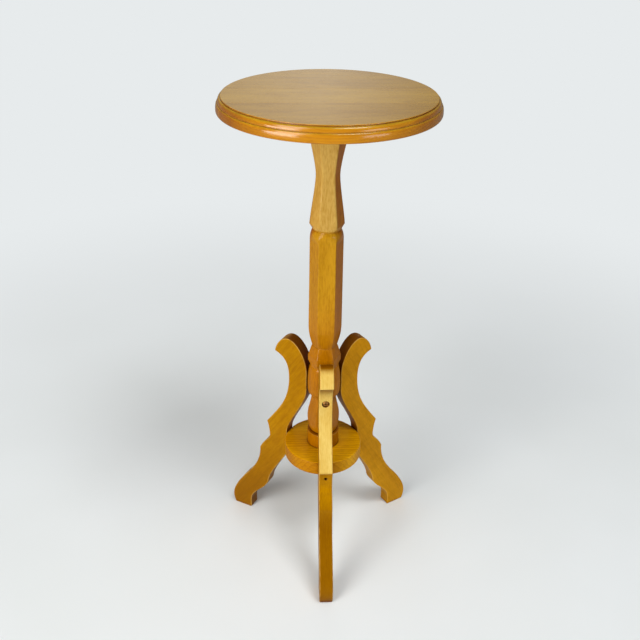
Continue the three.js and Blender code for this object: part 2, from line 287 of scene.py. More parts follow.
def add_piece(node, mesh, place, material):
    """Puts a copy of a finished mesh in the scene in place of its CAD node."""
    mesh = mesh.copy()
    mesh.transform(place)
    mesh.materials.clear()
    mesh.materials.append(material)
    piece = bpy.data.objects.new(node + "_fine", mesh)
    bpy.context.scene.collection.objects.link(piece)
    even = piece.modifiers.new("even_normals", "WEIGHTED_NORMAL")
    even.keep_sharp = True
    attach(piece, "root")
    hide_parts(node)


def at(x=0.0, y=0.0, z=0.0):
    """A place in millimetres from the foot of the column's axis."""
    return Matrix.Translation((AXIS + Vector((x, y, z))) * MM)


LOCAL = Matrix.Identity(4)
UPSIDE_DOWN = Matrix.Rotation(math.pi, 4, "X")


def about_axis(degrees):
    """A turn about the upright axis."""
    return Matrix.Rotation(math.radians(degrees), 4, "Z")


# ---- Shader building ------------------------------------------------------------------------------

class Shader:
    """A short way to write the node graph of a material or a world.

    A value is a number, a tuple or a node's output.
    """

    def __init__(self, owner):
        owner.use_nodes = True
        self.owner = owner
        self.tree = owner.node_tree
        self.tree.nodes.clear()

    def node(self, kind, inputs=None, **settings):
        made = self.tree.nodes.new("ShaderNode" + kind)
        for key, value in settings.items():
            setattr(made, key, value)
        for key, value in (inputs or {}).items():
            self.plug(made.inputs[key], value)
        return made

    def plug(self, socket, value):
        if isinstance(value, bpy.types.NodeSocket):
            self.tree.links.new(value, socket)
        else:
            socket.default_value = value

    def math(self, operation, *values):
        return self.node("Math", dict(enumerate(values)), operation=operation).outputs[0]

    def mapped(self, vector, scale=(1, 1, 1), rotation=(0, 0, 0), location=(0, 0, 0)):
        inputs = {"Vector": vector, "Scale": scale, "Rotation": rotation, "Location": location}
        return self.node("Mapping", inputs).outputs[0]

    def part(self, vector, axis):
        """A vector's X, Y or Z."""
        return self.node("SeparateXYZ", {0: vector}).outputs[axis]

    def dot(self, first, second):
        return self.node("VectorMath", {0: first, 1: second}, operation="DOT_PRODUCT").outputs["Value"]

    def noise(self, vector, scale, detail=2.0, roughness=0.5):
        inputs = {"Vector": vector, "Scale": scale, "Detail": detail, "Roughness": roughness}
        return self.node("TexNoise", inputs).outputs["Fac"]

    def span(self, value, low, high, out_low=0.0, out_high=1.0, smooth=False):
        """Moves a value from one span to another, and holds it there."""
        kind = "SMOOTHSTEP" if smooth else "LINEAR"
        inputs = {"Value": value, "From Min": low, "From Max": high, "To Min": out_low, "To Max": out_high}
        return self.node("MapRange", inputs, interpolation_type=kind).outputs[0]

    def mix(self, share, first, second):
        """A colour between two others."""
        made = self.node("Mix", data_type="RGBA")
        self.plug(made.inputs[0], share)
        self.plug(made.inputs[6], first)
        self.plug(made.inputs[7], second)
        return made.outputs[2]

    def openness(self, distance):
        """1 on open faces, falling towards 0 in hollows of about this size."""
        return self.node("AmbientOcclusion", {"Distance": distance}, samples=6).outputs["AO"]

    def bump(self, height, strength, distance, normal=None):
        inputs = {"Height": height, "Strength": strength, "Distance": distance}
        if normal is not None:
            inputs["Normal"] = normal
        return self.node("Bump", inputs).outputs[0]

    def finish(self, **inputs):
        """The material, with these inputs of its surface."""
        surface = self.node("BsdfPrincipled")
        for key, value in inputs.items():
            self.plug(surface.inputs[key.replace("_", " ")], value)
        self.node("OutputMaterial", {0: surface.outputs[0]})
        return self.owner


def colour(red, green, blue):
    """A colour from its usual 0 to 255 values, as the linear values that shaders use."""
    def linear(value):
        share = value / 255
        return share / 12.92 if share <= 0.04045 else ((share + 0.055) / 1.055) ** 2.4
    return (linear(red), linear(green), linear(blue), 1.0)


VARNISH = colour(255, 214, 104)
OCHRE = colour(176, 124, 0)
TAN = colour(140, 92, 0)
CHESTNUT = colour(120, 74, 0)
# A pale tone for edges, which wear and a painted highlight lighten.
WEAR_AND_HIGHLIGHT_TONE = colour(216, 176, 96)
# UMBER darkens cut fibres, and is the painted shade in corners and grooves.
UMBER = colour(92, 35, 0)


def outer_edges(shader, radius):
    """1 on rounded and sharp outer edges, 0 on flats."""
    rounded = shader.node("Bevel", {"Radius": radius}, samples=4).outputs[0]
    plain = shader.node("NewGeometry").outputs["Normal"]
    return shader.span(shader.dot(rounded, plain), 0.995, 0.86, smooth=True)


def growth_rings(s, along, pith, spacing):
    """How dark each year's growth is: it follows a wandering pith, and ends in a fine line."""
    drawn_out = s.mapped(along, scale=(0.16, 1, 1))
    wander = s.node("TexNoise", {"Vector": drawn_out, "Scale": 16.0, "Detail": 3.0}).outputs["Color"]
    wander = s.node("VectorMath", {0: wander, 1: (0.5, 0.5, 0.5)}, operation="SUBTRACT").outputs[0]
    wander = s.node("VectorMath", {0: wander, 3: 0.028}, operation="SCALE").outputs[0]
    bent = s.node("VectorMath", {0: drawn_out, 1: wander}, operation="ADD").outputs[0]
    aside = s.math("SUBTRACT", s.part(bent, "Y"), pith[0])
    above = s.math("SUBTRACT", s.part(bent, "Z"), pith[1])
    reach = s.math("SQRT", s.math("ADD", s.math("POWER", aside, 2.0), s.math("POWER", above, 2.0)))
    year = s.math("FRACT", s.math("MULTIPLY", reach, 1 / (spacing * MM)))
    return s.math("MULTIPLY", s.math("POWER", year, 2.5), s.span(year, 1.0, 0.93))


def tones_by_facing(s, base, depth, height, facing, sunned):
    """The base colour, changed on the faces that turn one way: painted light or shade on most pieces, and a
    paler face on the top.
    """
    for way, begins, complete, facing_pale, facing_deep in sunned:
        share = s.math("MULTIPLY", s.span(s.dot(facing, way), 0.35, 0.75), s.span(height, begins, complete))
        base = s.mix(share, base, s.mix(depth, facing_pale, facing_deep))
    return base


def end_grain_and_painted_shade(s, base, facing, grain, end_grain):
    """The base colour, darker on cut fibres, and darker in corners and grooves as painted shade."""
    endwise = s.math("ABSOLUTE", s.part(s.mapped(facing, rotation=grain), "X"))
    corners = s.openness(0.016)
    grooves = s.openness(0.003)
    base = s.mix(s.span(endwise, 0.45, 0.9, 0.0, end_grain, smooth=True), base, UMBER)
    # Painted shade: darker towards umber in corners and in fine grooves.
    base = s.mix(s.span(corners, 0.75, 0.15, 0.0, 0.85, smooth=True), base, UMBER)
    return s.mix(s.span(grooves, 0.85, 0.45, 0.0, 0.8, smooth=True), base, UMBER)


def highlit_edges_and_wear(s, own, facing, thickness_way):
    """The edges, in patches, from 0 to 1, where wear and a painted highlight lighten them."""
    if thickness_way:
        lean = s.math("ABSOLUTE", s.dot(facing, thickness_way))
        edges = s.math("MULTIPLY", s.span(lean, 0.2, 0.6), s.span(lean, 0.995, 0.93))
    else:
        edges = outer_edges(s, 0.0016)
    return s.math("MULTIPLY", edges, s.span(s.noise(own, 70.0, 3.0), 0.3, 0.55))


def wood(name, pale, deep, grain=(0, 0, 0), seed=(0, 0, 0), pith=(0.01, 0.09), rings=3.2,
         figure=0.5, flecks=0.25, ripple=0.0, shine=0.09, gloss=0.05, roughness=0.32, uneven=0.1,
         end_grain=0.75, low_tone=None, sunned=(), thickness_way=None):
    """Varnished wood, between a pale and a deep colour.

    grain is the turn of the piece's own axes that lays the fibres along X. rings is the spacing of
    the growth rings in millimetres, and pith the place of the tree's centre across the grain, in
    metres, which decides how the rings meet each face. figure, flecks and ripple are the strengths
    of the rings and fibres, of short marks along the grain, and of waves across it. shine and gloss
    are the wood's own sheen and the varnish over it, and uneven how that film ripples. end_grain is
    how far cut fibres darken.
    low_tone is for a piece that is deeper low down: the height where that begins, the height
    where it is complete, and its own pale and deep colours. sunned is for faces that turn
    one way and take other colours, mostly as painted light or shade: the way each faces, the heights
    it begins and is complete at, and its colours.
    thickness_way is the way a sawn board's thickness runs, to find the edges of its outline that wear and a
    painted highlight lighten.
    """
    s = Shader(bpy.data.materials.new(name))
    own = s.node("TexCoord").outputs["Object"]
    along = s.mapped(s.mapped(own, rotation=grain), location=seed)
    height = s.part(own, "Z")
    facing = s.node("VectorTransform", {0: s.node("NewGeometry").outputs["Normal"]},
                    vector_type="NORMAL", convert_from="WORLD", convert_to="OBJECT").outputs[0]

    # Fibres, pores and short marks along the grain, and soft patches that the varnish brings out.
    fibres = s.noise(s.mapped(along, scale=(12, 460, 460)), 1.0, 3.0, 0.6)
    pores = s.span(s.noise(s.mapped(along, scale=(60, 1500, 1500)), 1.0, 1.0), 0.62, 0.72)
    marks = s.noise(s.mapped(along, scale=(105, 420, 420)), 1.0, 2.0)
    patches = s.noise(s.mapped(along, scale=(7, 32, 32)), 1.0, 3.0, 0.55)
    waves = s.noise(s.mapped(along, scale=(130, 24, 24)), 1.0, 2.0)

    # How far each of them deepens the colour.
    depth = 0.0
    for feature, strength in (
        (growth_rings(s, along, pith, rings), 0.55 * figure),
        (s.span(fibres, 0.3, 0.7), 0.4 * figure),
        (s.span(marks, 0.4, 0.66), flecks),
        (s.span(patches, 0.3, 0.72), 0.6),
        (s.span(waves, 0.35, 0.7), ripple),
        (pores, 0.25 * figure),
    ):
        depth = s.math("ADD", depth, s.math("MULTIPLY", feature, strength))
    depth = s.math("MINIMUM", depth, 1.0)

    base = s.mix(depth, pale, deep)
    if low_tone:
        begins, complete, low_pale, low_deep = low_tone
        ragged = s.math("ADD", height, s.span(patches, 0.3, 0.7, -0.01, 0.01))
        base = s.mix(s.span(ragged, begins, complete, smooth=True), base, s.mix(depth, low_pale, low_deep))
    # Painted light and shade: faces that turn one way take other colours.
    base = tones_by_facing(s, base, depth, height, facing, sunned)
    base = end_grain_and_painted_shade(s, base, facing, grain, end_grain)
    wear_and_highlight = highlit_edges_and_wear(s, own, facing, thickness_way)
    # Edges paler where wear reaches them, and with a painted highlight along them.
    base = s.mix(s.math("MULTIPLY", wear_and_highlight, 0.5), base, WEAR_AND_HIGHLIGHT_TONE)

    # The varnish film: a little uneven, thin over the pores.
    film = s.noise(own, 65.0, 3.0, 0.5)
    relief = s.math("SUBTRACT", fibres, s.math("MULTIPLY", pores, 0.8))
    fine = s.bump(relief, 0.6 * uneven, 0.0004)
    broad = s.bump(film, uneven, 0.0016, normal=fine)
    rough = s.math("ADD", s.span(film, 0.3, 0.7, roughness - 0.04, roughness + 0.06),
                   s.math("MULTIPLY", wear_and_highlight, 0.08))
    return s.finish(Base_Color=base, Roughness=rough, Normal=broad, IOR=1.45,
                    Specular_IOR_Level=shine, Specular_Tint=VARNISH, Coat_Weight=gloss, Coat_IOR=1.6,
                    Coat_Roughness=0.17, Coat_Tint=VARNISH, Coat_Normal=broad)


def metal(name, bright, dull, roughness):
    """Plated steel, tarnished in patches and darker where it is recessed."""
    s = Shader(bpy.data.materials.new(name))
    own = s.node("TexCoord").outputs["Object"]
    patches = s.noise(own, 700.0, 4.0, 0.6)
    recess_dark = (*(0.25 * part for part in dull[:3]), 1.0)
    base = s.mix(s.span(patches, 0.35, 0.65), bright, dull)
    # Darker in its recesses, towards a quarter of its dull colour.
    base = s.mix(s.span(s.openness(0.0015), 0.8, 0.3, 0.0, 0.8), base, recess_dark)
    base = s.mix(s.math("MULTIPLY", outer_edges(s, 0.0003), 0.5), base, bright)
    scratches = s.noise(s.mapped(own, scale=(400, 4000, 400)), 1.0, 2.0)
    return s.finish(Base_Color=base, Metallic=1.0, Normal=s.bump(scratches, 0.08, 0.0001),
                    Roughness=s.span(patches, 0.3, 0.7, roughness - 0.08, roughness + 0.12))


# ---- Finishes -------------------------------------------------------------------------------------

ALONG_Z = (0, math.radians(90), 0)


def top_wood(side, pale, deep, seed):
    """The top's boards have the thickest varnish, and are paler on the face than round the rim."""
    return wood("top_wood_" + side, colour(194, 148, 8), colour(158, 108, 0), seed=seed, figure=0.65,
                flecks=0.08, shine=0.1, gloss=0.7, roughness=0.24, uneven=0.015, end_grain=0.5,
                sunned=[((0, 0, 1), 0.7, 0.71, pale, deep)])


TOP_FINISHES = {
    "front": top_wood("front", colour(180, 157, 34), colour(147, 120, 12), (0.31, 0.02, 0.0)),
    "middle": top_wood("middle", colour(188, 167, 48), colour(158, 132, 26), (1.13, 0.05, 0.01)),
    "back": top_wood("back", colour(182, 159, 38), colour(149, 122, 16), (2.47, -0.03, 0.02)),
}
# Painted light: the column's facets that face the lamps are paler from the belly up, and paler and greyer
# still above the groove under the hourglass, a painted sheen.
COLUMN_LIT_SIDE = (-0.17, -0.985, 0)
COLUMN_WOOD = wood("column_wood", colour(170, 106, 4), colour(134, 76, 0), grain=ALONG_Z,
                   seed=(0.7, 0.0, 0.0), pith=(0.05, 0.12), figure=0.3, flecks=0.35, gloss=0.2,
                   end_grain=0.3,
                   low_tone=(0.40, 0.34, colour(172, 110, 0), colour(136, 82, 0)),
                   sunned=[(COLUMN_LIT_SIDE, 0.36, 0.48, colour(194, 148, 28), colour(158, 110, 2)),
                           (COLUMN_LIT_SIDE, 0.5735, 0.5755, colour(206, 174, 96), colour(168, 126, 46))])
# Painted shade: above 0.16 m the disc's edge is deeper where it faces front-left, towards the brightest
# lamp.
DISC_WOOD = wood("disc_wood", colour(230, 172, 14), colour(186, 124, 0), seed=(0.2, 0.4, 0.1),
                 figure=0.9, rings=4.5, end_grain=0.1,
                 sunned=[((-0.5, -0.87, 0), 0.15, 0.16, colour(188, 128, 6), colour(152, 94, 0))])
CLEAT_WOOD = wood("cleat_wood", colour(190, 142, 84), colour(150, 100, 50), seed=(0.9, 0.1, 0.3),
                  figure=0.6, gloss=0.0, roughness=0.6)


def leg_wood(side, rise, **looks):
    """A leg's wood, with its fibres rising inward this steeply."""
    turn = about_axis(LEG_TURNS[side]).to_3x3()
    level = Matrix.Rotation(math.radians(180 - rise), 3, "Y")
    return wood("leg_wood_" + side, OCHRE, TAN, grain=(level @ turn.inverted()).to_euler(),
                thickness_way=tuple(turn @ Vector((0, 1, 0))), **looks)


# Painted light: the front leg's face is paler above 0.2 m, and the right leg's side that faces front-right
# is paler all over.
LEG_WOODS = {
    "front": leg_wood("front", 68, seed=(0.1, 0.2, 0.3), figure=0.4, low_tone=(0.17, 0.12, TAN, CHESTNUT),
                      sunned=[((0, -1, 0), 0.2, 0.206, colour(216, 190, 110), colour(190, 150, 60))]),
    "right": leg_wood("right", 62, seed=(0.5, 0.9, 0.1), figure=0.4, ripple=0.2,
                      sunned=[((0.5, -0.87, 0), -0.01, 0.0, colour(206, 146, 16), colour(168, 112, 0))]),
    "left": leg_wood("left", 54, seed=(1.7, 0.4, 0.2), figure=0.5, low_tone=(0.22, 0.02, TAN, CHESTNUT)),
}
BRONZED = metal("bronzed_steel", colour(222, 168, 96), colour(164, 108, 54), 0.42)
ZINCED = metal("zinced_steel", colour(190, 192, 196), colour(140, 143, 148), 0.35)


# ---- Screws ---------------------------------------------------------------------------------------

def cross_cutter(size):
    """A tapered cross that cuts the driver's recess in a screw's head, its mouth at z = 0."""
    thin = 0.3 * size
    corners = []
    for quarter in range(4):
        turn = Matrix.Rotation(quarter * math.pi / 2, 2)
        corners += [turn @ Vector(p) for p in ((size, -thin), (size, thin), (thin, thin))]

    def ring(scale, height):
        return [Vector((scale * c.x, scale * c.y, height)) for c in corners]
    return ring_solid("cross_cutter", [ring(0.45, -0.9 * size), ring(1.0, 0.0), ring(1.1, 0.4 * size)])


def thread_rings(spec, sides, thread_top):
    """The threaded stretch of a screw, from its tip on the Z axis up to this height."""
    pitch = 0.95 * spec["shank"]
    core = 0.68 * spec["shank"]
    taper = 3 * spec["shank"]
    tip = -spec["length"]
    blunt = 0.06  # share of the radius left at the very tip
    crest_width = 0.28  # half the thread's width, as a share of the pitch
    steps_per_turn = 8
    count = round((thread_top - tip) / pitch * steps_per_turn)
    rings = []
    for i in range(count + 1):
        height = tip + (thread_top - tip) * i / count
        fade = min(1.0, (height - tip) / taper + blunt)
        ring = []
        for k in range(sides):
            phase = ((height - tip) / pitch - k / sides) % 1.0
            crest = max(0.0, 1 - abs(phase - 0.5) / crest_width)
            radius = fade * (core + (spec["shank"] - core) * crest)
            turn = 2 * math.pi * k / sides
            ring.append(Vector((radius * math.cos(turn), radius * math.sin(turn), height)))
        rings.append(ring)
    return rings


def screw_mesh(name, spec):
    """A wood screw on the Z axis: head above z = 0, pointed tip at -Z, threaded for most of its length."""
    sides = 24
    thread_top = -0.3 * spec["length"]
    smooth_shank = 0.86 * spec["shank"]
    head, top = spec["head"], spec["height"]
    profile = Path(smooth_shank, thread_top + 0.6, step=0.4).line(smooth_shank, GAP)
    profile.line(head - 0.25, GAP).line(head, GAP + 0.3)
    profile.curve((head, 0.8 * top), (0.62 * head, top), (0.3 * head, top))
    rings = thread_rings(spec, sides, thread_top)
    rings += [circle(p.x, p.y, sides) for p in profile.points]
    recess = Matrix.Translation((0, 0, top * MM))
    return carve(ring_solid(name, rings), [(cross_cutter(0.5 * head), recess)])


def screw_hole(name, spec, reach):
    """The cutter for a screw's pilot hole below z = 0, and its wide bore as far above as this reach."""
    pilot = spec["shank"] + PILOT_GAP
    profile = [Vector((pilot, -spec["length"] - PILOT_GAP)), Vector((pilot, 0.0))]
    profile += [Vector((spec["bore"], 0.0)), Vector((spec["bore"], reach))]
    return turned(name, profile, 48)


def seat_in_leg(seat):
    """The place of a leg's screw in the leg's frame: X out from the column's axis, Z up."""
    radius, height, tilt = seat
    lean = Matrix.Rotation(math.radians(90 - tilt), 4, "Y")
    return Matrix.Translation(Vector((radius, 0, height)) * MM) @ lean


def leg_screw_cutters(name, spec, seat):
    """The cutters for one kind of leg screw, round all the legs."""
    hole = screw_hole(name, spec, LEG_BORE_REACH)
    return [(hole, about_axis(turn) @ seat_in_leg(seat)) for turn in LEG_TURNS.values()]


def column_screw_cutter():
    """The cutter for the screw that comes up through the disc into the column's foot."""
    place = Matrix.Translation((0, 0, WASHER_HIGH.z * MM)) @ UPSIDE_DOWN
    return screw_hole("column_hole", COLUMN_SCREW, COLUMN_BORE_REACH), place


# ---- The top --------------------------------------------------------------------------------------

def rim_profile():
    """Half of the top's section, from under the middle out round the moulded rim and back."""
    radius, low, high = TOP_RADIUS, TOP_UNDERSIDE, STAND_HEIGHT
    path = Path(1.0, low, step=0.45).line(radius - 3, low)
    # Nosing, with a fine groove above it.
    path.curve((radius, low), (radius, low + 3.5))
    path.curve((radius, low + 9), (radius - 0.6, low + 12), (radius - 1.9, low + 12.6))
    path.line(radius - 3.1, low + 12.8).line(radius - 3.1, low + 13.7).line(radius - 2.8, low + 13.7)
    # Upper round, a second groove, and the eased edge of the top's face.
    path.curve((radius - 3, low + 18.8), (radius - 5.8, low + 19.8))
    path.line(radius - 7.4, low + 19.9).line(radius - 7.4, high - 1).line(radius - 6.8, high - 0.8)
    path.curve((radius - 6.8, high), (radius - 7.6, high)).line(1.0, high)
    return path.eased(0.25)


def slice_between(mesh, name, near, far):
    """The part of a mesh between two upright planes across Y, closed again where it was cut."""
    work = bmesh.new()
    work.from_mesh(mesh)
    for y, normal in ((near, (0, -1, 0)), (far, (0, 1, 0))):
        everything = [*work.verts, *work.edges, *work.faces]
        made = bmesh.ops.bisect_plane(work, geom=everything, plane_co=(0, y * MM, 0),
                                      plane_no=normal, clear_outer=True)
        cut = [part for part in made["geom_cut"] if isinstance(part, bmesh.types.BMEdge)]
        if cut:
            bmesh.ops.contextual_create(work, geom=cut)
    sliced = bpy.data.meshes.new(name)
    work.to_mesh(sliced)
    work.free()
    tidy_mesh(sliced)
    return sliced


def cleat_screw_places():
    """Where the cleat's screws sit, each pointing up, round the column's axis."""
    seat = CLEAT_UNDERSIDE + CLEAT_SCREW_DEPTH
    places = {}
    for side, degrees in (("right", 0), ("back", 90), ("left", 180), ("front", 270)):
        turn = math.radians(degrees)
        spot = Vector((CLEAT_SCREW_CIRCLE * math.cos(turn), CLEAT_SCREW_CIRCLE * math.sin(turn), seat))
        places[side] = Matrix.Translation(spot * MM) @ UPSIDE_DOWN
    return places


def cleat_cutters():
    """The cutters for the cleat's screws, in the cleat and in the boards above it."""
    hole = screw_hole("cleat_hole", CLEAT_SCREW, 2 * CLEAT_SCREW_DEPTH)
    return [(hole, place) for place in cleat_screw_places().values()]


def build_top():
    whole = turned("top", rim_profile(), 288)
    beyond = 2 * TOP_RADIUS
    front_seam = box_mm("top_board_front")[1].y
    back_seam = box_mm("top_board_back")[0].y
    spans = {
        "front": (-beyond, front_seam - AXIS.y),
        "middle": (TOP_LOW.y - AXIS.y, TOP_HIGH.y - AXIS.y),
        "back": (back_seam - AXIS.y, beyond),
    }
    for side, (near, far) in spans.items():
        board = slice_between(whole, "top_board_" + side, near, far)
        board = carve(board, cleat_cutters())
        add_piece("top_board_" + side, board, at(), TOP_FINISHES[side])


def build_cleat():
    radius, low, high, edge = CLEAT_RADIUS, CLEAT_UNDERSIDE, TOP_UNDERSIDE, 2
    path = Path(1.0, low).line(radius - edge, low).curve((radius, low), (radius, low + edge))
    path.line(radius, high - edge).curve((radius, high), (radius - edge, high)).line(1.0, high)
    mortise = turned("cleat_mortise", [Vector((TENON_RADIUS + GAP, low - 1)),
                                       Vector((TENON_RADIUS + GAP, high + 1))], 64)
    block = carve(turned("top_cleat", path.points, 144), [(mortise, LOCAL), *cleat_cutters()])
    add_piece("top_cleat", block, at(), CLEAT_WOOD)
    screw = screw_mesh("cleat_screw", CLEAT_SCREW)
    for side, place in cleat_screw_places().items():
        add_piece("cleat_screw_" + side, screw, at() @ place, ZINCED)


# ---- The column -----------------------------------------------------------------------------------

# Heights of the column's features above the floor.
RING_TOP = 218.5
BULB_FOOT = 220.5
BULB_WIDEST = 244.0
BULB_NECK = 285.0
BLOCK_MIDDLE = 309.0
BLOCK_TOP = 342.0
COLLAR_LOW = 350.5
COLLAR_HIGH = 359.5
BELLY_NECK = 378.5
BELLY_LOW = 415.0
BELLY_HIGH = 557.0
BELLY_GROOVE = 571.0
HOURGLASS_LOW = 579.5
HOURGLASS_WAIST = 653.0
HOURGLASS_HIGH = 702.0
HEAD_GROOVE = 711.0
HEAD_LOW = 716.0

# Corner radii where the column isn't at its full width.
FOOT_RING_RADIUS = 25.5
FOOT_CORE_RADIUS = 17.5
BULB_FOOT_RADIUS = 21.0
NECK_RADIUS = 19.5
PINCH_RADIUS = 22.0
BELLY_RADIUS = 25.6
GROOVE_RADIUS = 21.5
WAIST_RADIUS = 17.8

# How the section changes up the column: (height, share of a full round, rounding of the corners).
FACETING = (
    (BULB_FOOT + 2, 1.0, 3.0), (BULB_FOOT + 22, 0.0, 3.0), (BULB_NECK - 4, 0.2, 1.6),
    (BULB_NECK + 5, 1.0, 1.4), (BLOCK_TOP - 3, 1.0, 1.4), (COLLAR_LOW, 0.0, 1.6),
    (COLLAR_HIGH, 0.0, 2.0), (BELLY_NECK, 0.55, 1.6), (BELLY_NECK + 14, 0.0, 1.4),
    (BELLY_HIGH - 4, 0.0, 1.6), (BELLY_GROOVE - 2, 1.0, 3.0), (BELLY_GROOVE + 3, 1.0, 3.0),
    (HOURGLASS_LOW, 0.1, 3.0), (HOURGLASS_WAIST, 0.0, 3.4), (HOURGLASS_HIGH, 0.0, 3.0),
    (HEAD_GROOVE, 1.0, 2.0), (HEAD_LOW + 1, 0.0, 1.6),
)


def faceting_at(height):
    """The share of a full round and the corner rounding at a height."""
    if height <= FACETING[0][0]:
        return FACETING[0][1:]
    for (low, *first), (high, *second) in zip(FACETING, FACETING[1:]):
        if height <= high:
            t = (height - low) / (high - low)
            t = t * t * (3 - 2 * t)
            return [a + (b - a) * t for a, b in zip(first, second)]
    return FACETING[-1][1:]


def faceted_ring(radius, height):
    """One section of the column: a hexagon with rounded corners, or nearer to a circle."""
    share_round, rounding = faceting_at(height)
    arc_steps, flat_steps = 6, 10
    rounding = min(rounding, 0.6 * radius)
    hub = radius - rounding / math.cos(math.radians(30))
    corners = []
    for side in range(6):
        middle = math.radians(60 * side)
        centre = Vector((hub * math.cos(middle), hub * math.sin(middle)))
        for i in range(arc_steps + 1):
            turn = middle + math.radians(60) * (i / arc_steps - 0.5)
            corners.append(centre + rounding * Vector((math.cos(turn), math.sin(turn))))
    ring = []
    for i, here in enumerate(corners):
        ring.append(here)
        if i % (arc_steps + 1) == arc_steps:
            following = corners[(i + 1) % len(corners)]
            ring += [here.lerp(following, k / flat_steps) for k in range(1, flat_steps)]
    ring = [p.lerp(p.normalized() * radius, share_round) for p in ring]
    return [Vector((p.x, p.y, height)) for p in ring]


def column_path():
    """The column's outline along one of its corners, from the lower peg to the upper."""
    wide = CORNER_RADIUS
    path = Path(TENON_RADIUS - 1, COLUMN_FOOT, step=1.0).line(TENON_RADIUS, COLUMN_FOOT + 1)
    path.line(TENON_RADIUS, DISC_TOP).line(FOOT_RING_RADIUS, DISC_TOP)
    path.line(FOOT_RING_RADIUS, RING_TOP).line(FOOT_CORE_RADIUS, RING_TOP + 1)
    path.line(FOOT_CORE_RADIUS, BULB_FOOT).line(BULB_FOOT_RADIUS, BULB_FOOT)
    path.curve((wide, BULB_FOOT + 9), (wide, BULB_WIDEST))
    path.curve((wide, BULB_WIDEST + 18), (NECK_RADIUS + 1, BULB_NECK - 16), (NECK_RADIUS, BULB_NECK))
    path.line(wide - 1.4, BULB_NECK + 7)
    path.curve((wide, BULB_NECK + 11), (wide, BLOCK_MIDDLE))
    path.curve((wide, BLOCK_TOP - 12), (PINCH_RADIUS, BLOCK_TOP))
    path.line(wide, COLLAR_LOW).line(wide, COLLAR_HIGH)
    path.curve((wide - 2.5, COLLAR_HIGH + 7), (NECK_RADIUS + 0.4, BELLY_NECK - 1))
    path.line(NECK_RADIUS - 0.4, BELLY_NECK).line(NECK_RADIUS + 0.5, BELLY_NECK + 1.2)
    path.curve((NECK_RADIUS + 3, BELLY_NECK + 11), (BELLY_RADIUS, BELLY_LOW - 19), (BELLY_RADIUS, BELLY_LOW))
    path.curve((BELLY_RADIUS - 0.3, (BELLY_LOW + BELLY_HIGH) / 2), (BELLY_RADIUS - 0.6, BELLY_HIGH))
    path.curve((BELLY_RADIUS - 0.8, BELLY_HIGH + 8), (GROOVE_RADIUS, BELLY_GROOVE))
    path.line(GROOVE_RADIUS - 1.2, BELLY_GROOVE + 1.5).line(GROOVE_RADIUS + 0.3, BELLY_GROOVE + 3)
    path.line(wide, HOURGLASS_LOW)
    path.curve((wide - 1.0, HOURGLASS_LOW + 17), (WAIST_RADIUS, HOURGLASS_WAIST - 17),
               (WAIST_RADIUS, HOURGLASS_WAIST))
    path.curve((WAIST_RADIUS, HOURGLASS_WAIST + 12), (wide - 2.5, HOURGLASS_HIGH - 12),
               (wide, HOURGLASS_HIGH))
    path.curve((wide, HEAD_GROOVE - 2), (GROOVE_RADIUS, HEAD_GROOVE))
    path.line(wide, HEAD_LOW).line(wide, CLEAT_UNDERSIDE).line(TENON_RADIUS, CLEAT_UNDERSIDE)
    path.line(TENON_RADIUS, COLUMN_HEAD - 1).line(TENON_RADIUS - 1, COLUMN_HEAD)
    return path.eased(0.8)


def is_round(point):
    """Whether a point of the column's outline is on its foot ring or on a peg at either end."""
    on_shoulder = point.y == CLEAT_UNDERSIDE and point.x < CORNER_RADIUS - 2
    return point.y < BULB_FOOT or point.y > CLEAT_UNDERSIDE or on_shoulder


def build_column():
    rings = []
    for p in column_path():
        ring = faceted_ring(p.x, p.y)
        if is_round(p):
            ring = [Vector((*(v.xy.normalized() * p.x), v.z)) for v in ring]
        rings.append(ring)
    cutters = [*leg_screw_cutters("leg_hole", LEG_SCREW, LEG_SEAT), column_screw_cutter()]
    column = carve(ring_solid("column", rings), cutters)
    add_piece("column", column, at(), COLUMN_WOOD)


# ---- The lower disc -------------------------------------------------------------------------------

def build_disc():
    radius, low, high, edge = DISC_RADIUS, DISC_UNDERSIDE, DISC_TOP, 2.5
    path = Path(1.0, low, step=0.4).line(radius - edge, low).curve((radius, low), (radius, low + edge))
    path.line(radius, high - edge).curve((radius, high), (radius - edge, high)).line(1.0, high)
    mortise = [Vector((TENON_RADIUS + GAP, COLUMN_FOOT - GAP)), Vector((TENON_RADIUS + GAP, high + 1))]
    cutters = [(turned("disc_mortise", mortise, 64), LOCAL)]
    cutters += leg_screw_cutters("trim_hole", TRIM_SCREW, TRIM_SEAT)
    cutters.append(column_screw_cutter())
    disc = carve(turned("lower_disc", path.points, 192), cutters)
    add_piece("lower_disc", disc, at(), DISC_WOOD)


def build_column_screw():
    low, high = WASHER_LOW.z, WASHER_HIGH.z
    outer = (WASHER_HIGH.x - WASHER_LOW.x) / 2
    inner = COLUMN_SCREW["shank"] + PILOT_GAP
    section = Path(inner, low + 0.3, step=0.2).line(inner, high).line(outer - 0.2, high)
    section.line(outer, high - 0.2).line(outer, low + 0.4).curve((outer, low), (outer - 0.4, low))
    section.line(inner + 0.3, low)
    rings = [circle(p.x, p.y, 72) for p in section.points]
    washer = ring_solid("column_washer", rings, looped=True)
    add_piece("column_washer", washer, at(), ZINCED)
    screw = screw_mesh("column_screw", COLUMN_SCREW)
    add_piece("column_screw", screw, at(z=low) @ UPSIDE_DOWN, ZINCED)


# ---- The legs -------------------------------------------------------------------------------------

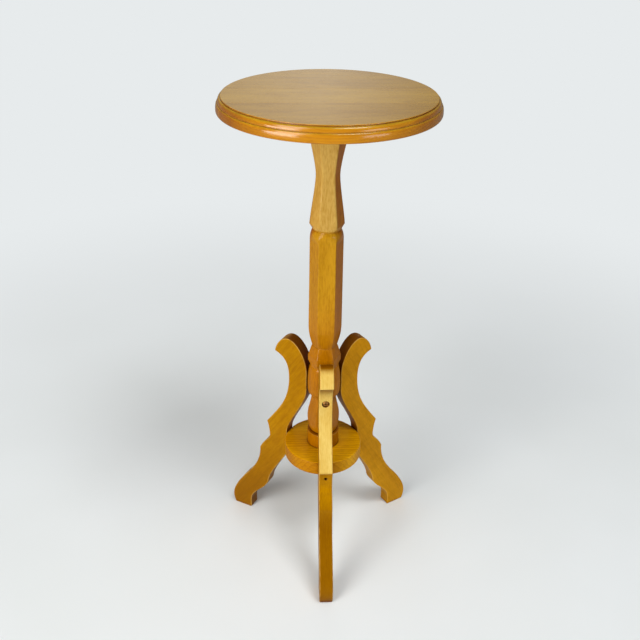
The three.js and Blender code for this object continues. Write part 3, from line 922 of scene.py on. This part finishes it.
def leg_outline():
    """A leg's outline: distance from the column's axis, and height above the floor."""
    column_side = CORNER_RADIUS + 0.1  # just clear of the column's round block
    disc_face = DISC_RADIUS + GAP
    path = Path(137, 0).line(170, 0)
    # Round toe, then a hollow up the ankle to the lower cusp.
    path.curve((178.5, 19), (174.8, 33.4), (151, 67))
    path.curve((143, 78.2), (115, 106), (116, 143.5))
    # Notch between the two cusps.
    path.curve((110, 157), (100, 166))
    path.curve((95.6, 171), (96, 178))
    path.curve((97, 194), (101, 204))
    # Long hollow up to the waist and out to the tip of the scroll.
    path.curve((79, 236), (58.5, 259), (58.5, 303))
    path.curve((58.5, 327), (65, 341), (84, 347.4))
    # Over the scroll and down to the column.
    path.curve((82, 361), (72, LEG_HEIGHT), (60, LEG_HEIGHT))
    path.curve((44.5, LEG_HEIGHT), (column_side, 346), (column_side, 320))
    path.line(column_side, 288)
    # Out to the disc, which the leg meets along a flat.
    path.curve((column_side, 261), (disc_face, 216), (disc_face, DISC_TOP))
    path.line(disc_face, 150)
    # Under the disc and down to the heel.
    path.curve((77, 123), (98, 96), (101, 73))
    path.curve((109, 49), (136, 41), (137, 17))
    return path.eased(2.4, closed=True)


def build_legs():
    board = plate("leg", leg_outline(), LEG_THICKNESS, easing=1.5)
    leg_hole = screw_hole("leg_hole", LEG_SCREW, LEG_BORE_REACH)
    trim_hole = screw_hole("trim_hole", TRIM_SCREW, LEG_BORE_REACH)
    board = carve(board, [(leg_hole, seat_in_leg(LEG_SEAT)), (trim_hole, seat_in_leg(TRIM_SEAT))])
    upper = screw_mesh("upper_screw", LEG_SCREW)
    lower = screw_mesh("lower_screw", TRIM_SCREW)
    for side, turn in LEG_TURNS.items():
        place = at() @ about_axis(turn)
        add_piece("leg_" + side, board, place, LEG_WOODS[side])
        add_piece("upper_screw_" + side, upper, place @ seat_in_leg(LEG_SEAT), BRONZED)
        add_piece("lower_screw_" + side, lower, place @ seat_in_leg(TRIM_SEAT), BRONZED)


# ---- The studio -----------------------------------------------------------------------------------

AIR = (0.80, 0.83, 0.84, 1.0)
WARM = (1.0, 0.97, 0.93)
DAYLIGHT = (1.0, 0.985, 0.95)
COOL = (0.97, 0.99, 1.0)


def build_floor():
    """A pale floor that fades a little way off into a glow of its own, the colour of the studio's air."""
    s = Shader(bpy.data.materials.new("studio_floor"))
    own = s.node("TexCoord").outputs["Object"]
    cloud = s.noise(own, 3.0, 2.0)
    base = s.mix(s.span(cloud, 0.3, 0.7), colour(230, 233, 233), colour(234, 237, 238))
    far = s.node("VectorMath", {0: own}, operation="LENGTH").outputs["Value"]
    far = s.span(far, 0.3, 1.7, smooth=True)
    surface = s.node("BsdfPrincipled", {"Base Color": base, "Roughness": 0.6})
    # In the varnish the floor looks dimmer than it is, as the rest of a room would.
    mirrored = s.node("LightPath").outputs["Is Glossy Ray"]
    glow = s.node("Emission", {"Color": AIR, "Strength": s.span(mirrored, 0, 1, 1.0, 0.3)})
    share = s.math("MAXIMUM", far, s.math("MULTIPLY", mirrored, 0.7))
    faded = s.node("MixShader", {0: share, 1: surface.outputs[0], 2: glow.outputs[0]})
    s.node("OutputMaterial", {0: faded.outputs[0]})
    work = bmesh.new()
    bmesh.ops.create_circle(work, cap_ends=True, segments=96, radius=14.0)
    mesh = bpy.data.meshes.new("studio_floor")
    work.to_mesh(mesh)
    work.free()
    mesh.materials.append(s.owner)
    floor = bpy.data.objects.new("studio_floor", mesh)
    bpy.context.scene.collection.objects.link(floor)


def add_softbox(name, azimuth, elevation, width, height, power, tint, distance=4.2):
    """A soft light aimed at the middle of the stand. Azimuth 0 is in front, 90 to the right."""
    a, e = math.radians(azimuth), math.radians(elevation)
    target = Vector((AXIS.x * MM, AXIS.y * MM, STAND_HEIGHT * MM / 2))
    back = Vector((math.sin(a) * math.cos(e), -math.cos(a) * math.cos(e), math.sin(e)))
    light = bpy.data.lights.new(name, "AREA")
    light.shape = "RECTANGLE"
    light.size, light.size_y = width, height
    light.energy = power
    light.color = tint
    lamp = bpy.data.objects.new(name, light)
    lamp.location = target + back * distance
    lamp.rotation_mode = "QUATERNION"
    lamp.rotation_quaternion = (-back).to_track_quat("-Z", "Y")
    bpy.context.scene.collection.objects.link(lamp)
    return lamp


def build_air():
    """Dim light from all round, and a pale wall's glow low down behind the stand."""
    world = bpy.data.worlds.new("studio_air")
    s = Shader(world)
    way = s.node("TexCoord").outputs["Generated"]
    wall = 1.0
    # Its soft edges: the axis each is measured along, where it is dark, and where it is bright.
    for axis, dark, bright in (("X", 0.21, 0.06), ("X", -0.22, 0.04), ("Y", 0.45, 0.85), ("Z", 0.55, 0.3)):
        wall = s.math("MULTIPLY", s.span(s.part(way, axis), dark, bright), wall)
    glow = s.node("Background", {"Color": (0.94, 0.98, 1.0, 1.0), "Strength": s.span(wall, 0, 1, 0.2, 0.94)})
    seen = s.node("Background", {"Color": AIR})
    directly = s.node("LightPath").outputs["Is Camera Ray"]
    air = s.node("MixShader", {0: directly, 1: glow.outputs[0], 2: seen.outputs[0]})
    s.node("OutputWorld", {0: air.outputs[0]})
    bpy.context.scene.world = world


def build_studio():
    build_floor()
    build_air()
    add_softbox("window_left", azimuth=-43, elevation=31, width=1.9, height=3.6, power=122, tint=DAYLIGHT)
    add_softbox("window_left_foot", azimuth=-50, elevation=2, width=2.4, height=1.0, power=76, tint=DAYLIGHT)
    add_softbox("window_right", azimuth=42, elevation=4, width=1.8, height=0.9, power=24, tint=COOL)
    add_softbox("skylight_right", azimuth=36, elevation=64, width=1.3, height=1.3, power=66, tint=COOL,
                distance=3.6)
    back_fill = add_softbox("back_fill", azimuth=180, elevation=2, width=3.0, height=0.9, power=60,
                            tint=WARM)
    back_fill.visible_glossy = False
    bpy.context.scene.view_settings.view_transform = "Standard"


def build_camera():
    """The camera looks down at the stand from just left of its front leg."""
    distance, left, height = 1139.3, 69.4, 1053.8
    heading, pitch, roll = math.radians(3.09), math.radians(29.04), math.radians(0.95)
    lens = bpy.data.cameras.new("camera")
    lens.sensor_width = 36.0
    lens.lens = 48.04
    lens.clip_end = 100.0
    camera = bpy.data.objects.new("camera", lens)
    turn = Matrix.Rotation(-heading, 4, "Z") @ Matrix.Rotation(math.pi / 2 - pitch, 4, "X")
    camera.matrix_world = at(-left, -distance, height) @ turn @ Matrix.Rotation(roll, 4, "Z")
    bpy.context.scene.collection.objects.link(camera)
    bpy.context.scene.camera = camera


# ---- Everything -----------------------------------------------------------------------------------

build_top()
build_cleat()
build_column()
build_disc()
build_column_screw()
build_legs()
build_studio()
build_camera()
